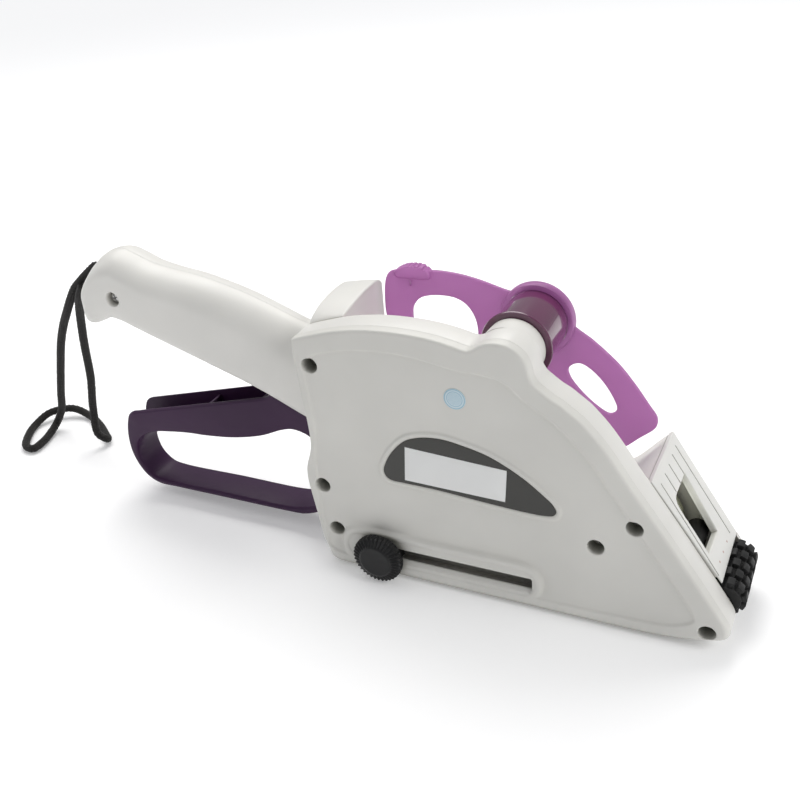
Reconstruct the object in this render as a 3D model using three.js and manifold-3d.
// Hand-held label applicator: a lever-operated dispenser that feeds labels from a roll, peels them
// over a plate at the nose and presses them down with a toothed roller.
//
// Millimetres. x runs forward from the rear wall of the body to the nose, with the handle at
// negative x; y runs from the side cover (near) to the roll guide (far); z runs up from the flat
// underside. ORIGIN is the point of this frame that becomes the part's own origin.
// Points and axes are [x, z] unless noted otherwise.
import * as THREE from 'three';
import { mergeVertices } from 'three/addons/utils/BufferGeometryUtils.js';
import { ParametricGeometry } from 'three/addons/geometries/ParametricGeometry.js';
import Module from 'manifold-3d';

const wasm = await Module();
wasm.setup();

// ---------------------------------------------------------------- driving dimensions
const ORIGIN = [100, 30, 0];        // x, y, z
const BODY_W = 60.5;                // overall width of the body
const COVER_T = 5;                  // depth of the side cover's rim
const FRAME_Y = 5.3;                // near edge of the near body shell
const WALL_IN = 14.6;               // mid wall, mechanism side
const WALL_OUT = 17.0;              // mid wall, roll-bay side
const BAY_Y = 17.3;                 // near edge of the far body shell
const WALL = 2.3;                   // general wall thickness
const FACE_Y = 0.8;                 // dished main face of the side cover
const SKIN_Y = 2.8;                 // inner face of the side cover
const AXLE_NEAR = 14.9;             // near end of the axles set in the mid wall
const AXLE_FAR = 59.1;              // far end of the full-width axles

const HANDLE_Y = 30;                // middle plane of the handle and trigger
const HANDLE_HALF_W = 15;
const HANDLE_SPLIT = 0.15;          // gap from the middle plane to each half of the handle
const HANDLE_SCREW = [-111.2, 121.0];
const HANDLE_BOSS = [-127.2, 122];
const TRIGGER_Y = [20.8, 39.7];
const TRIGGER_SLOT_Y = [TRIGGER_Y[0] - 1.6, TRIGGER_Y[1] + 1.6];

const PIVOT = [15.5, 84];           // trigger pivot
const HALF_PULL = 17 / 2 * Math.PI / 180;
const PIN_R = 51;                   // pivot to drive pin
const PIN_THROW = PIN_R * Math.sin(HALF_PULL);
const PIN = [PIVOT[0] + PIN_THROW, PIVOT[1] - PIN_R * Math.cos(HALF_PULL)];
const STROKE = 2 * PIN_THROW;

const MODULE = 1.5;
const ADDENDUM = 0.85 * MODULE;
const DEDENDUM = 1.2 * MODULE;
const PRESSURE = 20 * Math.PI / 180;
const TOOTH_THINNING = 0.12;        // taken off each flank for running clearance
const PINION_TEETH = 10;
const GEAR_TEETH = 32;
const FEED_TEETH = 16;

const FEED = [133, 24];             // feed roller axis
const FEED_R = 9;
const GEAR_DISTANCE = MODULE * (GEAR_TEETH + FEED_TEETH) / 2;
const GEAR_SETBACK = 34;            // drive gear axis behind the feed roller axis, along x
const GEAR = [
  FEED[0] - GEAR_SETBACK,
  FEED[1] + Math.sqrt(GEAR_DISTANCE ** 2 - GEAR_SETBACK ** 2),
];
const RACK_Z = GEAR[1] - MODULE * PINION_TEETH / 2;     // rack pitch line
const PINCH = [133, 9.7];
const PINCH_R = 5;
const HUB = [96, 119.4];            // label roll hub axis
const HUB_R = 14.6;
const KNOB = [36, 13.5];            // length knob at rest, in its slot
const SLOT_X = [29.5, 110.4];
const SLOT_HALF_H = 3.3;
const PRESS = [192.2, 15.6];        // press roller axis
const PRESS_R = 8.4;
const SENSOR = [174, 29];
const GUIDE_ROD = [154, 40];
const THIN_AXLE_R = 1.5;
const RECESS_R = 3.78;              // screw recess radius

// front cover on the nose slope: upper end, direction down the slope, outward normal
const PANEL_START = [157.9, 69.1];
const PANEL_DOWN = [0.58637, -0.81004];
const PANEL_OUT = [-PANEL_DOWN[1], PANEL_DOWN[0]];
const PANEL_L = 55.0;
const PANEL_T = 2.4;

// ---------------------------------------------------------------- measured outlines
// edge of the side cover and of the near body shell
const OUTLINE = [
  [0.3, 121.6], [5.6, 123.6], [10.9, 125.3], [21.2, 128.3], [31.1, 130.3], [40.7, 131.4],
  [50.1, 131.8], [59.2, 131.6], [68.1, 130.8], [76.9, 129.2], [81.3, 128.1], [83.4, 127.9],
  [85.6, 128.6], [87.7, 130.1], [90.0, 131.5], [92.2, 132.4], [94.4, 132.9], [96.5, 133.1],
  [98.7, 132.9], [100.8, 132.5], [102.8, 131.7], [104.8, 130.6], [106.9, 128.9], [108.5, 126.9],
  [109.7, 124.4], [110.3, 122.3], [110.8, 119.9], [111.6, 117.8], [112.9, 115.9], [115.1, 114.2],
  [119.1, 111.3], [123.4, 108.9], [127.4, 106.0], [131.8, 102.7], [135.8, 98.7], [139.6, 94.5],
  [143.2, 89.8], [148.0, 83.0], [152.6, 76.0], [157.9, 68.6], [170.0, 51.4], [178.8, 38.6],
  [187.7, 25.6], [192.8, 17.9], [196.0, 12.6], [196.7, 9.6], [195.8, 7.3], [193.2, 5.6],
  [188.0, 4.1], [181.2, 2.5], [174.5, 1.3], [168.0, 0.6], [160.0, 0.15], [151.0, 0.0],
  [85.0, 0.0], [19.0, 0.0], [10.5, 0.4], [7.6, 1.5], [6.0, 3.1], [5.1, 5.8], [4.4, 9.8],
  [3.0, 20.0], [1.5, 30.0], [-0.3, 42.0], [-0.9, 47.1], [-0.8, 52.5], [0.2, 57.0], [1.6, 61.0],
  [2.9, 66.0], [3.2, 71.6], [2.5, 84.2], [1.6, 92.0], [0.8, 102.3], [0.1, 114.4],
];
// edge of the shallow dish in the side cover
const DISH = [
  [6, 14], [4.8, 30], [4.6, 60], [6.4, 72], [5.6, 92], [5.2, 108], [9, 114.5], [22, 119.2],
  [40, 121.8], [58, 121.6], [76, 118.6], [98, 116.4], [108, 109], [122, 99.5], [134, 87.5],
  [145, 72], [162, 47], [180, 20.5], [182, 14.5], [174, 9.5], [150, 7.4], [60, 6.6], [14, 6.8],
  [7, 9.5],
];
const BADGE = [
  [40.5, 61.1], [42.7, 67.4], [46.6, 73.4], [51.9, 78.8], [56.9, 81.3], [63.3, 82.9],
  [71.2, 83.3], [80.3, 81.9], [90.8, 79.3], [99.7, 75.3], [108.5, 70.0], [115.7, 64.4],
  [120.2, 60.3], [122.0, 56.8], [120.8, 54.5], [117.9, 53.6], [109.0, 53.3], [89.9, 54.2],
  [66.4, 55.8], [50.1, 56.1], [44.2, 56.3], [41.5, 57.9],
];
const BADGE_LABEL = [[52.1, 76.1], [51.0, 58.0], [99.1, 56.7], [100.2, 73.6]];
const SCREWS = {
  cover_screw_top_rear: [7.8, 109.4],
  cover_screw_mid_rear: [6.9, 45.2],
  cover_screw_bottom_rear: [11.3, 20.4],
  cover_screw_front_upper: [155.1, 55.8],
  cover_screw_front_lower: [138.9, 42.0],
  cover_screw_nose: [187.6, 9.8],
};
// far body shell below the deck: outside and hollow
const LOWER = [
  [2.3, 62], [1.2, 45], [1.7, 30], [3.2, 20], [5.2, 5.5], [7.2, 1.8], [10.5, 0.4], [19, 0],
  [151, 0], [160, 0.15], [168, 0.6], [181.2, 2.5], [190, 4.7], [194, 6.2], [196.2, 8],
  [196.9, 10.5], [196.2, 13.8], [194.6, 17.2], [158, 68.2], [156.6, 68.2], [140, 51.9],
  [22.8, 51.9], [22.8, 62],
];
const LOWER_IN = [
  [4.8, 70], [3.6, 45], [4.1, 30], [5.6, 20], [7.5, 6], [9.6, 3.4], [19, 2.2], [151, 2.2],
  [160, 2.4], [168, 2.9], [181, 4.7], [188, 6.2], [220, 10], [175, 85], [159.3, 66.3],
  [141.0, 49.9], [20.6, 49.9], [20.6, 70],
];
// plan of the far body shell as [x, y]: it narrows towards the nose
const PLAN = [[-10, 16.9], [230, 16.9], [230, 50.4], [196, 54.8], [156, 60.5], [-10, 60.5]];
const PLAN_IN = [[-10, 16], [230, 16], [230, 48.0], [196, 52.4], [156, 58.1], [-10, 58.1]];
// rear bridge of the far shell: side profile, [y, z] cross-section, top limit, hollow
const BRIDGE = [
  [2.3, 61], [2.9, 71], [1.5, 92], [0.2, 114], [0.2, 125.2], [1.6, 128.2], [5, 129.4],
  [18.5, 132.4], [18.5, 106], [22.8, 101], [22.8, 61],
];
const BRIDGE_SECTION = [
  [16, 50], [57.2, 50], [57.2, 124], [56, 128.2], [53.4, 130.6], [50, 131.3], [44, 131.5],
  [34, 131.0], [25, 130], [17.3, 128.6], [16, 128.6],
];
const BRIDGE_TOP = [
  [-5, 60], [25, 60], [25, 129.4], [21.2, 128.3], [10.9, 125.3], [5.6, 123.6], [0.3, 121.6],
  [-5, 119.6],
];
const BRIDGE_IN = [
  [4.8, 60], [5.2, 71], [3.9, 92], [2.6, 114], [2.6, 118.8], [16.2, 121.5], [16.2, 105],
  [20.6, 100], [20.6, 60],
];
// handle stations from the butt forward: x, top, bottom, height of the domed crown
const HANDLE = [
  [-137.2, 117, 110.5, 3], [-136.2, 120.5, 107, 5.5], [-133.5, 125.2, 104.2, 8],
  [-129, 131.2, 103.8, 9.5], [-124, 136.8, 105.6, 10], [-118, 141.2, 108.0, 10.5],
  [-111, 142.6, 107.0, 11], [-104, 140.6, 104.6, 11.5], [-95, 137.2, 101.5, 12],
  [-82, 134.8, 97.0, 13], [-68, 133.0, 92.2, 14], [-54, 130.0, 87.4, 15.5],
  [-40, 126.2, 82.6, 17], [-26, 121.2, 77.0, 19], [-12, 116.0, 70.6, 21], [0, 113.0, 65.4, 22],
  [8, 112.0, 62.0, 22],
];
const BUTT_TAPER = [0.62, 0.84, 0.95];   // width factors of the first stations
const HANDLE_SIDES = 16;
const TRIGGER_OUTER = [
  [-126.1, 44.2], [-127.9, 35.3], [-127.6, 25.0], [-124.4, 16.2], [-119.2, 10.0],
  [-112.3, 7.0], [-100, 6.9], [-30.1, 7.2], [-20.3, 7.6], [-12.8, 10.2], [-4, 14.5], [3, 17.5],
  [10, 22], [20, 27], [26.4, 29.5], [27.2, 34], [26, 38.5], [20.2, 44], [19.2, 60], [19.6, 80],
  [19.8, 86], [18.2, 88], [15.5, 88.7], [12.6, 88.0], [6, 87.6], [-6, 86.2], [-18, 82.6],
  [-30.3, 77.8], [-31.4, 76.5], [-34.8, 74.4], [-120.6, 51.5], [-123.8, 49.6],
];
// finger opening
const TRIGGER_INNER = [
  [-106.9, 41.5], [-86.1, 44.6], [-73.3, 45.3], [-56.2, 47.4], [-39.3, 51.8], [-26.6, 57.4],
  [-20.9, 59.0], [-15.6, 58.6], [-10.6, 56.6], [-6.4, 52], [-4.2, 44], [-3.6, 34], [-4.4, 25],
  [-7, 18.5], [-13, 14.5], [-19.6, 12.2], [-30, 10.6], [-107.9, 10.2], [-115, 11.2],
  [-121.0, 17.6], [-123.0, 27.7], [-118.2, 35.6],
];
// open channel along the top of the upper bar
const TRIGGER_CHANNEL = [
  [-135, 33.0], [-124.4, 33.0], [-122.6, 35.6], [-117, 40.6], [-110, 44.0], [-98, 46.0],
  [-86.3, 47.0], [-73.5, 47.7], [-56.8, 49.8], [-40.2, 54.2], [-27, 60.0], [-18, 61.6],
  [-6, 60], [4, 66], [6, 78], [-6, 95], [-30, 95], [-36, 82], [-119, 66], [-135, 60],
];
// front cover in its own frame as [distance down the slope, y]
const PANEL = [[0.2, 17.6], [PANEL_L, 17.6], [PANEL_L, 55.0], [0.2, 60.4]];
const WINDOW = [
  [14.6, 28.5], [15.6, 26.0], [18.4, 24.4], [42.4, 22.2], [43.2, 40.4], [14.5, 46.3],
];
const PEEL_PLATE = [
  [152, 5.6], [188.6, 6.7], [189.4, 7.1], [188.6, 7.4], [152, 6.6], [151.2, 9.5], [150.4, 9.5],
  [150.6, 6.4],
];
const LABEL_GUIDE = [
  [147, 44], [149, 34], [156, 27], [163, 24.5], [168.6, 24.0], [167.6, 30], [166, 36],
  [160.5, 46], [154, 52], [149, 50],
];
const ROLL_GUIDE = [
  [22.6, 132.2], [21.4, 127.5], [20.9, 122.0], [21.0, 112.7], [25.5, 103], [28, 92], [36, 79],
  [47, 68.5], [60, 61.5], [78, 57.5], [98, 56.5], [118, 57], [130, 57.8], [136.8, 60.1],
  [150.8, 72.9], [151.7, 76.0], [151.2, 78.8], [147.8, 83.6], [141.5, 92.5], [133.7, 101.9],
  [127.8, 107.3], [121.5, 112.4], [112.2, 119.2], [111.6, 123.5], [110.2, 127.0],
  [107.8, 130.4], [104.4, 133.3], [100.6, 134.9], [96.5, 135.5], [92.6, 135.1], [89.4, 133.9],
  [86.0, 131.8], [84.0, 131.4], [79.6, 132.3], [69.5, 135.1], [59.3, 137.0], [48.8, 137.6],
  [44.3, 137.3], [28, 136.3], [24.4, 134.9],
];
const ROLL_GUIDE_HOLES = [
  [
    [34.8, 112], [35.4, 118.1], [38.8, 122.7], [43.5, 124.8], [49.9, 125.7], [56.9, 125.3],
    [62.1, 122.8], [65.4, 118.7], [67.1, 114], [67.6, 108], [66.0, 100], [61.5, 93], [54, 88.5],
    [46, 89.5], [39, 95.5], [35.6, 104],
  ],
  [
    [110.6, 96.8], [112.8, 99.4], [116.1, 100.4], [120.1, 98.7], [126, 93.4], [131.1, 86.0],
    [133.3, 80.2], [132.1, 77.6], [129.7, 76.7], [123.8, 79.8], [116.3, 86.4], [111.4, 92.8],
  ],
  [
    [78, 80], [82, 88], [90, 92.5], [99, 91.5], [105, 86], [108, 78], [105, 71], [97, 67],
    [87, 68], [80.5, 72.5],
  ],
];
// thumb tab on the top edge of the roll guide
const GUIDE_TAB = [
  [27.6, 135.6], [29.6, 137.2], [32.7, 138.6], [38.2, 139.6], [42.0, 139.0], [44.6, 136.8],
  [44.6, 133.6], [28.6, 133.0],
];
// centre line of the wrist cord: x, y, z
const CORD = [
  [-127.4, 30, 129.9], [-130.4, 30, 131.2], [-135.2, 30, 128.2], [-142.5, 30.2, 122.4],
  [-150.2, 31, 115.8], [-157, 32.6, 107.6], [-164.8, 35.2, 97.8], [-172.6, 38.8, 88.8],
  [-183.5, 44, 74], [-197, 51, 51], [-208, 56.5, 30], [-216, 60.5, 14], [-221, 59, 5],
  [-219.5, 50, 2.3], [-217, 41, 2.3], [-217, 32.5, 2.3], [-223, 33, 2.3], [-231, 43, 2.3],
  [-236.5, 56, 2.3], [-234, 67.5, 5.2], [-222.5, 76, 5.6], [-209.5, 76, 2.4],
  [-197, 69.8, 2.3], [-184, 60.5, 2.3], [-178, 55, 3.6], [-180.3, 51, 9], [-180.5, 52, 25],
  [-173.4, 49.4, 50], [-165.4, 43, 75], [-156.5, 36.4, 96.6], [-149.2, 31, 108.4],
  [-144.6, 28, 114.4], [-139.9, 26.5, 120.6],
];
// turned profiles: radius, y
const COVER_SCREW_PROFILE = [
  [0, 5.9], [1.0, 5.9], [1.0, 5.2], [3.0, 5.3], [3.2, 6.2], [3.2, 8.6], [1.45, 8.6],
  [1.45, 15.6], [0.8, 16.0], [0, 16.0],
];
const HANDLE_SCREW_PROFILE = [
  [0, 17.4], [1, 17.4], [1, 16.8], [3.0, 16.9], [3.1, 17.6], [3.1, 19.7], [1.45, 19.7],
  [1.45, 38.5], [0, 39.2],
];
const HUB_STUB_PROFILE = [
  [0, WALL_IN + 0.4], [13.7, WALL_IN + 0.4], [13.7, WALL_OUT], [13.5, 20], [13.4, 25.5],
  [0, 25.5],
];
const KNOB_PROFILE = [
  [0, -8.6], [7.9, -8.6], [8.5, -8.3], [12.2, -7.1], [12.5, -6.6], [12.5, -3.2], [12.0, -2.7],
  [9.0, -2.5], [8.6, -0.5], [2.6, -0.5], [2.6, -5.2], [0, -5.2],
];
const ROLL_HUB_PROFILE = [
  [3.3, 25.9], [15.9, 25.9], [16.0, 26.6], [15.9, 27.4], [HUB_R, 27.4], [HUB_R, 60.0],
  [13.8, 60.8], [3.3, 60.8], [3.3, 25.9],
];
const HUB_END_PROFILE = [[0, 61.7], [5.4, 61.7], [5.4, 63.0], [4.4, 63.8], [0, 64.0]];

// ---------------------------------------------------------------- solids
// positions only, welded, without collapsed triangles
function clean(geometry) {
  let welded = geometry.index ? geometry.toNonIndexed() : geometry.clone();
  for (const name of Object.keys(welded.attributes)) {
    if (name !== 'position') welded.deleteAttribute(name);
  }
  welded = mergeVertices(welded, 1e-4);
  const corners = welded.index.array;
  const kept = [];
  for (let i = 0; i < corners.length; i += 3) {
    const [a, b, c] = corners.slice(i, i + 3);
    if (a !== b && b !== c && a !== c) kept.push(a, b, c);
  }
  welded.setIndex(kept);
  return welded;
}
const toManifold = geometry => new wasm.Manifold(new wasm.Mesh({
  numProp: 3,
  vertProperties: new Float32Array(geometry.attributes.position.array),
  triVerts: new Uint32Array(geometry.index.array),
}));
function toGeometry(manifold) {
  const { vertProperties, triVerts } = manifold.getMesh();
  const geometry = new THREE.BufferGeometry();
  geometry.setAttribute('position', new THREE.BufferAttribute(new Float32Array(vertProperties), 3));
  geometry.setIndex([...triVerts]);
  return geometry;
}
// the boolean operations take geometries and manifolds alike
const solid = part => (part.isBufferGeometry ? toManifold(clean(part)) : part);
const join = (first, ...rest) => rest.reduce((sum, part) => sum.add(solid(part)), solid(first));
const cut = (first, ...rest) => rest.reduce((left, part) => left.subtract(solid(part)), solid(first));
const common = (first, second) => solid(first).intersect(solid(second));

// ---------------------------------------------------------------- shapes
const vectors = points => points.map(([x, y]) => new THREE.Vector2(x, y));
function extrude(points, depth, holes) {
  const shape = new THREE.Shape(vectors(points));
  for (const hole of holes) shape.holes.push(new THREE.Path(vectors(hole)));
  return new THREE.ExtrudeGeometry(shape, { depth, bevelEnabled: false });
}
// [x, z] profile between two y planes
const slabY = (points, y0, y1, holes = []) =>
  extrude(points, y1 - y0, holes).rotateX(Math.PI / 2).translate(0, y1, 0);
// [x, y] profile between two z planes
const slabZ = (points, z0, z1, holes = []) => extrude(points, z1 - z0, holes).translate(0, 0, z0);
// [y, z] profile between two x planes
function slabX(points, x0, x1) {
  const axes = new THREE.Matrix4().makeBasis(
    new THREE.Vector3(0, 1, 0), new THREE.Vector3(0, 0, 1), new THREE.Vector3(1, 0, 0));
  return extrude(points, x1 - x0, []).applyMatrix4(axes).translate(x0, 0, 0);
}
const box = (x0, x1, y0, y1, z0, z1) => new THREE.BoxGeometry(x1 - x0, y1 - y0, z1 - z0)
  .translate((x0 + x1) / 2, (y0 + y1) / 2, (z0 + z1) / 2);
// [radius, y] profile turned about an axis along y
const turned = (axis, profile, segments) =>
  new THREE.LatheGeometry(vectors(profile), segments).translate(axis[0], 0, axis[1]);
const rod = (axis, radius, y0, y1, segments) =>
  new THREE.CylinderGeometry(radius, radius, y1 - y0, segments)
    .translate(axis[0], (y0 + y1) / 2, axis[1]);
const tube = (axis, r0, r1, y0, y1, segments) =>
  turned(axis, [[r0, y0], [r1, y0], [r1, y1], [r0, y1], [r0, y0]], segments);
const polar = (centre, radius, angle) =>
  [centre[0] + radius * Math.cos(angle), centre[1] + radius * Math.sin(angle)];
const circle = (centre, radius, count) =>
  Array.from({ length: count }, (_, i) => polar(centre, radius, 2 * Math.PI * i / count));
// hole list with one round hole
const bore = (centre, radius, count) => [circle(centre, radius, count).reverse()];
// level slot outline between two end centres
function capsule(x0, x1, z, radius, steps) {
  const end = (x, start) => Array.from({ length: steps + 1 },
    (_, i) => polar([x, z], radius, start + Math.PI * i / steps));
  return [...end(x0, Math.PI / 2), ...end(x1, -Math.PI / 2)];
}
// hexagonal cord swept along a curve
const sweep = (curve, radius, steps) => new THREE.ExtrudeGeometry(
  new THREE.Shape(vectors(circle([0, 0], radius, 6))),
  { steps, extrudePath: curve, bevelEnabled: false });
function signedArea(points) {
  return points.reduce((sum, [x, y], i) => {
    const next = points[(i + 1) % points.length];
    return sum + x * next[1] - next[0] * y;
  }, 0) / 2;
}
// closed profile moved inward; a negative distance moves it outward.
// The lesser of mitre and twice the distance is used, so outward moves overshoot the distance.
function inset(points, distance) {
  const side = signedArea(points) > 0 ? 1 : -1;
  const count = points.length;
  const normal = (from, to) => {
    const dx = to[0] - from[0];
    const dy = to[1] - from[1];
    const length = Math.hypot(dx, dy);
    return [-dy / length * side, dx / length * side];
  };
  return points.map((point, i) => {
    const before = normal(points[(i + count - 1) % count], point);
    const after = normal(point, points[(i + 1) % count]);
    const sum = [before[0] + after[0], before[1] + after[1]];
    const mitre = distance * 2 / (sum[0] * sum[0] + sum[1] * sum[1]);
    const scale = Math.min(mitre, 2 * distance);
    return [point[0] + sum[0] * scale, point[1] + sum[1] * scale];
  });
}
// involute spur gear outline; the first tooth points along `phase`
function gearOutline(centre, teeth, phase) {
  const pitchR = MODULE * teeth / 2;
  const baseR = pitchR * Math.cos(PRESSURE);
  const tipR = pitchR + ADDENDUM;
  const radii = [pitchR - DEDENDUM, baseR + 0.4 * (tipR - baseR), tipR];
  const involute = radius => {
    const angle = Math.acos(baseR / radius);
    return Math.tan(angle) - angle;
  };
  const pitchHalf = Math.PI / (2 * teeth) - TOOTH_THINNING / pitchR;
  const halfAngle = radius => pitchHalf
    + (radius <= baseR ? involute(pitchR) * 0.9 : involute(pitchR) - involute(radius));
  return Array.from({ length: teeth }, (_, i) => {
    const middle = phase + 2 * Math.PI * i / teeth;
    const flank = sign => radii.map(r => polar(centre, r, middle + sign * halfAngle(r)));
    return [...flank(-1), ...flank(1).reverse()];
  }).flat();
}

// ---------------------------------------------------------------- group and materials
const root = new THREE.Group();
root.name = 'label_applicator';
const frame = new THREE.Group();
frame.position.set(-ORIGIN[0], -ORIGIN[1], -ORIGIN[2]);
root.add(frame);

const MATERIALS = {
  ivory: { color: '#dcdbd3', roughness: 0.45 },
  ivory_frame: { color: '#e4e3dc', roughness: 0.45 },
  window: { color: '#e6e6e0', roughness: 0.42 },
  aubergine: { color: '#413246', roughness: 0.35 },
  plum: { color: '#5a3050', roughness: 0.25 },
  lilac: { color: '#ac70aa', roughness: 0.25 },
  black: { color: '#1e1e1f', roughness: 0.5 },
  lens: { color: '#30302e', roughness: 0.2 },
  paper: { color: '#f2f2f0', roughness: 0.6 },
  sky: { color: '#bcd8ea', roughness: 0.5 },
  steel: { color: '#b9bbbd', roughness: 0.35, metalness: 0.9 },
  spring: { color: '#8f9296', roughness: 0.3, metalness: 0.9 },
  olive: { color: '#8b8970', roughness: 0.5 },
  rubber: { color: '#2a2a2a', roughness: 0.8 },
  cord: { color: '#1c1a19', roughness: 0.9 },
  nylon: { color: '#d8d2bf', roughness: 0.5 },
};
function put(name, part, material) {
  const geometry = part.isBufferGeometry ? clean(part) : toGeometry(part);
  geometry.computeVertexNormals();
  const mesh = new THREE.Mesh(geometry, new THREE.MeshStandardMaterial(MATERIALS[material]));
  mesh.name = name;
  frame.add(mesh);
}

// ---------------------------------------------------------------- side cover
const atScrews = (radius, y0, y1, segments) =>
  Object.values(SCREWS).map(axis => rod(axis, radius, y0, y1, segments));

function sideCover() {
  const shell = cut(
    slabY(OUTLINE, 0, COVER_T),
    slabY(inset(OUTLINE, WALL), SKIN_Y, COVER_T + 1),
    slabY(DISH, -1, FACE_Y),
  );
  const land = slabY(capsule(24, 105.2, 13.9, 9.3, 10), 0.1, SKIN_Y - 0.5);   // around the slot
  const bossed = join(shell, land, ...atScrews(RECESS_R + 1.5, 1.2, 10.4, 12));
  const slot = capsule(
    SLOT_X[0] + SLOT_HALF_H, SLOT_X[1] - SLOT_HALF_H, KNOB[1], SLOT_HALF_H, 6);
  return cut(
    common(bossed, slabY(OUTLINE, -1, 11)),
    slabY(slot, -2, 9),
    ...atScrews(RECESS_R, -2, 8.9, 16),
    ...atScrews(1.8, 8, 12, 8),
  );
}
put('side_cover', sideCover(), 'ivory');
for (const [name, axis] of Object.entries(SCREWS)) {
  put(name, turned(axis, COVER_SCREW_PROFILE, 8), 'steel');
}
const STUCK_Y = FACE_Y - 0.06;      // back of the plate and sticker on the dished face
put('badge_plate', slabY(inset(BADGE, 0.1), 0.1, STUCK_Y), 'lens');
put('badge_label', slabY(BADGE_LABEL, -0.2, 0.04), 'paper');
put('round_sticker', rod([77.3, 104.2], 5.0, 0.45, STUCK_Y, 24), 'sky');

// ---------------------------------------------------------------- handle form
// handle surface drawn in by `offset`, closed at both ends and ending at x = xEnd
function handleForm(offset, xEnd) {
  const lastRow = HANDLE.length - 1;
  const stations = HANDLE.length + 1;
  const surface = (u, v, target) => {
    const station = Math.round(v * stations);
    const angle = 2 * Math.PI * (Math.round(u * HANDLE_SIDES) % HANDLE_SIDES) / HANDLE_SIDES;
    const row = Math.min(Math.max(station - 1, 0), lastRow);
    const [rowX, rowTop, rowBottom, crown] = HANDLE[row];
    const halfWidth = (HANDLE_HALF_W - offset) * (BUTT_TAPER[row] ?? 1);
    const top = rowTop - offset;
    const bottom = rowBottom + offset;
    const dome = Math.max(crown - offset * 0.5, 1);
    let x = row === lastRow ? xEnd : rowX;
    if (offset > 0 && row < 4) x += offset * (1 - row / 4) * 1.2;
    if (station === 0 || station === stations) {
      target.set(x, HANDLE_Y, (top + bottom) / 2);
      return;
    }
    // section: elliptical crown, flat sides, softly rounded lower edges
    const across = Math.cos(angle);
    const up = Math.sin(angle);
    const shoulder = top - dome;
    if (up >= 0) {
      target.set(x, HANDLE_Y + across * halfWidth, shoulder + Math.pow(up, 0.9) * dome);
    } else {
      const wide = Math.pow(Math.abs(across), 0.35) * Math.sign(across);
      const down = Math.pow(Math.abs(up), 0.35);
      target.set(x, HANDLE_Y + wide * halfWidth, shoulder - down * (shoulder - bottom));
    }
  };
  return new ParametricGeometry(surface, HANDLE_SIDES, stations);
}
function handleSolid(offset, xEnd) {
  const surface = clean(handleForm(offset, xEnd));
  const form = toManifold(surface);
  if (form.volume() >= 0) return form;
  surface.setIndex([...surface.index.array].reverse());    // turn the faces outward
  return toManifold(surface);
}
function hollowHandle() {
  const cordOpening = new THREE.CylinderGeometry(3.7, 3.7, 16, 16)
    .rotateZ(Math.PI / 2)
    .rotateY(0.72)
    .translate(-130.9, HANDLE_Y, 132.65);
  const bossLimit = handleSolid(1, 8);
  return cut(
    join(
      cut(handleSolid(0, 8), handleSolid(2.4, 14)),
      common(rod(HANDLE_SCREW, 5.2, 17, 43, 16), bossLimit),
      common(rod(HANDLE_BOSS, 3.4, 17, 43, 12), bossLimit),
    ),
    box(-66, 12, ...TRIGGER_SLOT_Y, 55, 97),         // the trigger nests in the open underside
    rod(HANDLE_SCREW, RECESS_R - 0.3, 10, 21, 20),
    rod(HANDLE_SCREW, 1.8, 20, 31, 12),
    rod(HANDLE_SCREW, 1.55, 30, 40, 12),
    cordOpening,
  );
}
const handle = hollowHandle();
const handleNear = common(handle, join(
  box(-160, -0.3, 0, HANDLE_Y - HANDLE_SPLIT, 40, 160),
  box(-1, 8, 0, WALL_OUT, 40, 160),
));
const handleFar = common(handle, box(-160, 6, HANDLE_Y + HANDLE_SPLIT, 60, 40, 160));
put('handle_screw', turned(HANDLE_SCREW, HANDLE_SCREW_PROFILE, 8), 'steel');

// ---------------------------------------------------------------- near body shell
function nearShell() {
  const tray = cut(
    slabY(OUTLINE, FRAME_Y, WALL_OUT),
    slabY(inset(OUTLINE, WALL), FRAME_Y - 1, WALL_IN),
  );
  const bossed = common(
    join(tray, ...atScrews(3.9, 10.7, WALL_IN + 0.5, 10)),
    slabY(OUTLINE, 0, 30),
  );
  const drilled = cut(
    bossed,
    ...atScrews(1.75, 9, 16.4, 8),
    ...atScrews(RECESS_R + 1.9, 4, 10.7, 12),
  );
  const rackGuides = [[42, 50], [62, 72]].map(
    ([x0, x1]) => box(x0, x1, 7.2, WALL_IN + 0.3, 19.9, 22.3));
  const whole = join(drilled, turned(HUB, HUB_STUB_PROFILE, 32), ...rackGuides, handleNear);
  const pinSlot = capsule(PIN[0] - STROKE, PIN[0], PIN[1] - 0.3, 2.5, 8);
  return cut(
    whole,
    rod(HUB, 3.2, 12, 27, 16),
    rod(PIVOT, 2.8, 12, 20, 20),
    slabY(pinSlot, 12, 20),
    rod(GEAR, 2.7, 12, 20, 16),
    rod(FEED, 2.8, 12, 20, 16),
    rod(PINCH, 1.8, 12, 20, 12),
    rod(PRESS, 1.6, 12, 20, 12),
    rod(SENSOR, 1.8, 12, 20, 12),
    rod(GUIDE_ROD, 1.8, 12, 20, 12),
  );
}
put('body_shell_left', nearShell(), 'ivory_frame');

// ---------------------------------------------------------------- far body shell
// front cover's own frame: x down the slope, y across, z outward from its face
const PANEL_FRAME = new THREE.Matrix4().makeBasis(
  new THREE.Vector3(PANEL_DOWN[0], 0, PANEL_DOWN[1]),
  new THREE.Vector3(0, 1, 0),
  new THREE.Vector3(PANEL_OUT[0], 0, PANEL_OUT[1]),
).setPosition(PANEL_START[0], 0, PANEL_START[1]);

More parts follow.
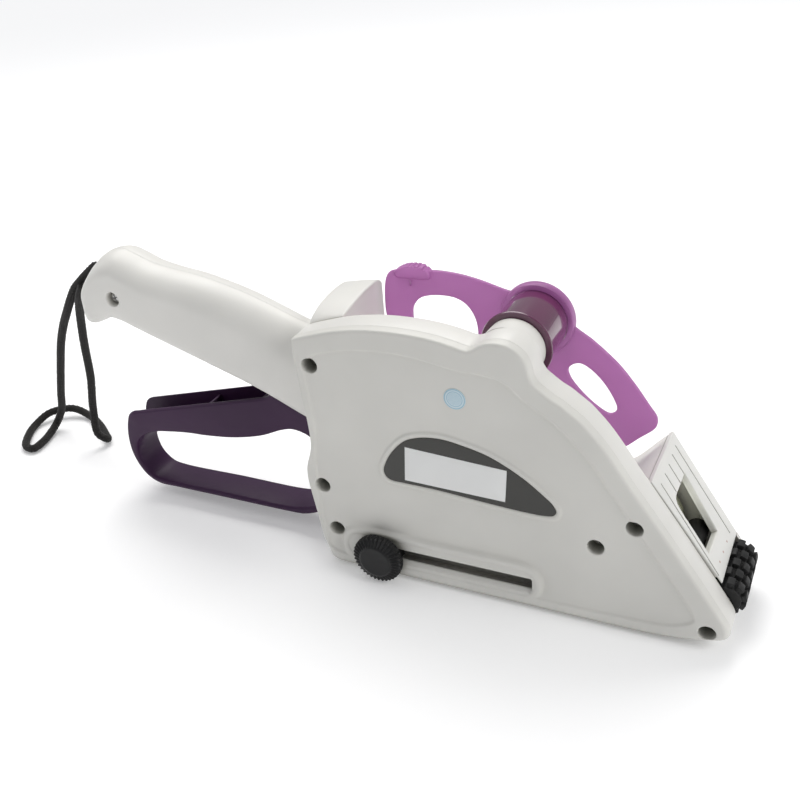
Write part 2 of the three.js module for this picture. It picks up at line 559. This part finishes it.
// block beside the handle; its top starts level with the near shell and rises away from it
function bridgeBlock() {
  const rise = new THREE.Matrix4().set(1, 0, 0, 0, 0, 1, 0, 0, 0, 0.6, 1, 0, 0, 0, 0, 1);
  const rising = slabY(BRIDGE_TOP, 0, 43).applyMatrix4(rise).translate(0, 17, 0);
  const block = common(slabY(BRIDGE, BAY_Y, 57.0), slabX(BRIDGE_SECTION, -5, 30));
  return common(block, rising);
}
function farShell() {
  const tray = cut(
    common(slabY(LOWER, BAY_Y, BODY_W), slabZ(PLAN, -1, 70)),
    common(slabY(LOWER_IN, 16, BODY_W - 0.5), slabZ(PLAN_IN, -2, 90)),
  );
  const body = cut(
    join(tray, bridgeBlock()),
    slabY(BRIDGE_IN, 16, 54.7),
    box(4.6, 20.6, 16, 54.7, 48, 64),
    // clearance round the near half of the handle
    common(handleSolid(-0.3, 12), box(-10, 2.6, 10, HANDLE_Y + HANDLE_SPLIT, 40, 160)),
    // the far half's hollow runs on into the bridge
    common(handleSolid(2.4, 14), box(-10, 12, HANDLE_Y, 60, 40, 160)),
  );
  const coverSeat = box(-0.3, PANEL_L + 0.3, 10, 70, -PANEL_T - 0.3, 3);
  return cut(
    join(body, handleFar),
    box(-5, 8, ...TRIGGER_SLOT_Y, 3.2, 97),          // trigger slot in the rear wall
    box(115, 138, 19.5, 56, 46, 54),                 // web slot in the deck
    box(110, 122, 21, 54, -1, 3),                    // liner exit in the floor
    rod(FEED, 2.8, 57, 59.4, 16),
    rod(PINCH, 1.8, 57, 59.4, 12),
    rod(PRESS, 1.8, 45, 62, 12),
    rod(SENSOR, 1.8, 52, 57.2, 12),
    rod(GUIDE_ROD, 1.8, 56, 59.4, 12),
    rod(PIVOT, 2.8, 52, 55.8, 16),
    coverSeat.applyMatrix4(PANEL_FRAME),
  );
}
put('body_shell_right', farShell(), 'ivory_frame');

// ---------------------------------------------------------------- front cover
// leaning groove in the face, from [x0, y0] down the slope to x1
function groove(x0, y0, x1) {
  const half = 0.45;
  const y1 = y0 - 0.105 * (x1 - x0);
  return slabZ([[x0, y0 - half], [x1, y1 - half], [x1, y1 + half], [x0, y0 + half]], -0.5, 0.5);
}
function frontCover() {
  const plate = slabZ(PANEL, -PANEL_T, 0, [WINDOW]);
  const rim = slabZ(inset(WINDOW, -1.6), -PANEL_T - 2.4, -PANEL_T + 0.8, [WINDOW]);
  const grooved = cut(
    join(plate, rim),
    groove(4.1, 53.6, 50.5),
    groove(4.8, 22.9, 51.3),
    groove(4.2, 46.2, 13.9),
    groove(4.6, 38.5, 14.1),
    groove(4.6, 30.8, 13.6),
  );
  const hookBar = box(7.9, 10.9, 24, 52, -PANEL_T - 3, -PANEL_T + 0.2);
  // the lower edge thins to a lip over the press roller
  const underLip = box(PANEL_L - 3.6, PANEL_L + 0.8, 8, 68, -4.7, -0.7);
  return toGeometry(cut(join(grooved, hookBar), underLip)).applyMatrix4(PANEL_FRAME);
}
put('front_cover', frontCover(), 'window');

// ---------------------------------------------------------------- nose
put('press_axle', rod(PRESS, THIN_AXLE_R, 13.4, 54.6, 12), 'steel');
const RING_COUNT = 5;
const RING_W = 6.7;
const RING_TEETH = 10;
// toothed ring; every other ring is turned by half a tooth
function pressRing(index) {
  const half = Math.PI / RING_TEETH;
  const phase = (index % 2) * half + 0.2;
  const y0 = 17.5 + index * (RING_W + 0.3);
  const tooth = [
    [PRESS_R - 2.0, -0.92], [PRESS_R, -0.70], [PRESS_R, 0.70], [PRESS_R - 2.0, 0.92],
  ];
  const outline = Array.from({ length: RING_TEETH }, (_, k) => tooth.map(
    ([radius, turn]) => polar(PRESS, radius, phase + (2 * k + turn) * half))).flat();
  return slabY(outline, y0, y0 + RING_W, bore(PRESS, 1.75, 12));
}
for (let i = 0; i < RING_COUNT; i++) put('press_ring_' + (i + 1), pressRing(i), 'black');
put('peel_plate', slabY(PEEL_PLATE, 19.4, 50.4), 'steel');
put('sensor_roller', tube(SENSOR, 1.8, 5, 25, 47, 20), 'black');
put('sensor_axle', rod(SENSOR, THIN_AXLE_R, AXLE_NEAR, 55.2, 12), 'steel');
put('guide_rod', rod(GUIDE_ROD, THIN_AXLE_R, AXLE_NEAR, AXLE_FAR, 12), 'steel');
for (const [side, y0] of [['near', 20.4], ['far', 48.6]]) {
  put('label_guide_' + side, slabY(LABEL_GUIDE, y0, y0 + 2.2, bore(GUIDE_ROD, 1.8, 12)), 'olive');
}

// ---------------------------------------------------------------- trigger
function triggerLever() {
  const [near, far] = TRIGGER_Y;
  const channel = slabY(TRIGGER_CHANNEL, near + 1.9, far - 1.9);
  const limit = solid(slabY(TRIGGER_OUTER, 0, 60, [TRIGGER_INNER]));
  const ribs = [-74, -40, -22].map(x => common(
    box(x, x + 1.2, near + 1, far - 1, 44, 64 + (x + 74) * 0.12), limit));
  return cut(
    join(cut(slabY(TRIGGER_OUTER, near, far, [TRIGGER_INNER]), channel), ...ribs),
    // the arm below the pivot is thinned from both sides
    box(1.5, 14, near - 1, near + 5.5, 26, 70),
    box(1.5, 14, far - 5.5, far + 1, 26, 70),
    rod(PIVOT, 2.7, 10, 60, 20),
    rod(PIN, 1.7, 10, 36.5, 12),
  );
}
class SpringCoil extends THREE.Curve {
  getPoint(t, target = new THREE.Vector3()) {
    const [x, z] = polar(PIVOT, 4.6, 2 * Math.PI * 3.25 * t + 0.9);
    return target.set(x, 7.2 + 4.6 * t, z);
  }
}
put('trigger_lever', triggerLever(), 'aubergine');
put('trigger_shaft', rod(PIVOT, 2.5, 5.6, 55.3, 16), 'steel');
put('drive_pin', rod(PIN, 1.45, 7.4, 36.0, 12), 'steel');
put('trigger_spring', sweep(new SpringCoil(), 0.6, 44), 'spring');

// ---------------------------------------------------------------- feed train
function driveRack() {
  const pitch = Math.PI * MODULE;
  const half = pitch / 4 - TOOTH_THINNING;
  const slope = Math.tan(PRESSURE);
  const rootZ = RACK_Z - DEDENDUM;
  const tipZ = RACK_Z + ADDENDUM;
  const teeth = [];
  // a rack space faces the pinion tooth that points straight down
  for (let k = 0; k < 7; k++) {
    const middle = GEAR[0] + pitch * (k - 1.5);
    teeth.push(
      [middle - half - DEDENDUM * slope, rootZ],
      [middle - half + ADDENDUM * slope, tipZ],
      [middle + half - ADDENDUM * slope, tipZ],
      [middle + half + DEDENDUM * slope, rootZ],
    );
  }
  const back = PIN[0] - 3.2;
  const outline = [
    [back, 27.6], [back + 13.6, 27.6], [back + 13.6, 22.6], [124, 22.6], [124, rootZ],
    ...teeth.reverse(), [40, rootZ], [34, 29], [back + 8.6, 38.2], [back, 38.2],
  ];
  const left = PIN[0] - 1.75;
  const right = PIN[0] + 1.75;
  const pinSlot = [[left, 30.9], [left, 36.2], [right, 36.2], [right, 30.9]];
  return slabY(outline, 7.9, 10.9, [pinSlot]);
}
const GEAR_Y = [11.6, 14.2];        // the two meshing gears
const meshAngle = Math.atan2(FEED[1] - GEAR[1], FEED[0] - GEAR[0]);
function driveGear() {
  const gears = join(
    slabY(gearOutline(GEAR, GEAR_TEETH, meshAngle), ...GEAR_Y),
    slabY(gearOutline(GEAR, PINION_TEETH, -Math.PI / 2), 7.7, 11.8),
  );
  const webHoles = Array.from({ length: 5 },
    (_, k) => rod(polar(GEAR, 15, 0.4 + k * 2 * Math.PI / 5), 4.4, 11, 15, 8));
  return cut(gears, rod(GEAR, 2.75, 5, 16, 16), ...webHoles);
}
function feedGear() {
  const outline = gearOutline(FEED, FEED_TEETH, meshAngle + Math.PI + Math.PI / FEED_TEETH);
  return slabY(outline, ...GEAR_Y, bore(FEED, 2.75, 16));
}
function feedRoller() {
  const flutes = 18;
  const flute = [[FEED_R - 0.5, 0], [FEED_R, 0.25], [FEED_R, 0.75]];   // radius, part of a pitch
  const outline = Array.from({ length: flutes }, (_, k) => flute.map(
    ([radius, part]) => polar(FEED, radius, 2 * Math.PI * (k + part) / flutes))).flat();
  return slabY(outline, 21, 56, bore(FEED, 2.75, 16));
}
put('drive_rack', driveRack(), 'nylon');
put('drive_gear', driveGear(), 'nylon');
put('feed_gear', feedGear(), 'nylon');
put('gear_shaft', rod(GEAR, 2.4, 5.8, 16.9, 16), 'steel');
put('feed_shaft', rod(FEED, 2.5, 6.4, AXLE_FAR, 16), 'steel');
put('one_way_clutch', tube(FEED, 2.75, 6.0, 7.7, 11.3, 18), 'steel');
put('feed_roller', feedRoller(), 'rubber');
put('pinch_roller', tube(PINCH, 1.75, PINCH_R, 22, 55, 20), 'rubber');
put('pinch_axle', rod(PINCH, THIN_AXLE_R, AXLE_NEAR, AXLE_FAR, 12), 'steel');

// ---------------------------------------------------------------- length adjustment
const STOP = [[-8, 9.4], [8, 9.4], [8, 17.6], [3, 19.2], [-3, 19.2], [-8, 17.6]]
  .map(([x, z]) => [KNOB[0] + x, z]);
put('length_knob', turned(KNOB, KNOB_PROFILE, 30), 'black');
put('knob_stud', rod(KNOB, 2.35, -4.9, 7.0, 16), 'steel');
put('length_stop', slabY(STOP, 3.1, 7.3, bore(KNOB, 2.6, 16)), 'nylon');

// ---------------------------------------------------------------- label roll hub and guide
function rollGuide() {
  const tabGrooves = Array.from({ length: 5 },
    (_, k) => box(29.8 + k * 3, 30.8 + k * 3, 51, 58, 137.6, 141));
  return cut(
    join(
      slabY(ROLL_GUIDE, 53.6, 55.6, ROLL_GUIDE_HOLES),
      rod(HUB, 18.6, 52.6, 57.6, 32),
      slabY(GUIDE_TAB, 51.6, 57.4),
    ),
    rod(HUB, HUB_R + 0.4, 50, 60, 32),
    ...tabGrooves,
    box(34.3, 35.5, 51, 59, 128.6, 132.4),
  );
}
put('hub_shaft', rod(HUB, 3.0, AXLE_NEAR, 61.4, 16), 'steel');
put('roll_hub', turned(HUB, ROLL_HUB_PROFILE, 32), 'plum');
put('hub_end_screw', turned(HUB, HUB_END_PROFILE, 16), 'steel');
put('roll_guide', rollGuide(), 'lilac');

// ---------------------------------------------------------------- wrist cord
const cordPath = new THREE.CatmullRomCurve3(
  CORD.map(point => new THREE.Vector3(...point)), false, 'centripetal');
put('wrist_cord', sweep(cordPath, 1.75, 76), 'cord');

export default root;
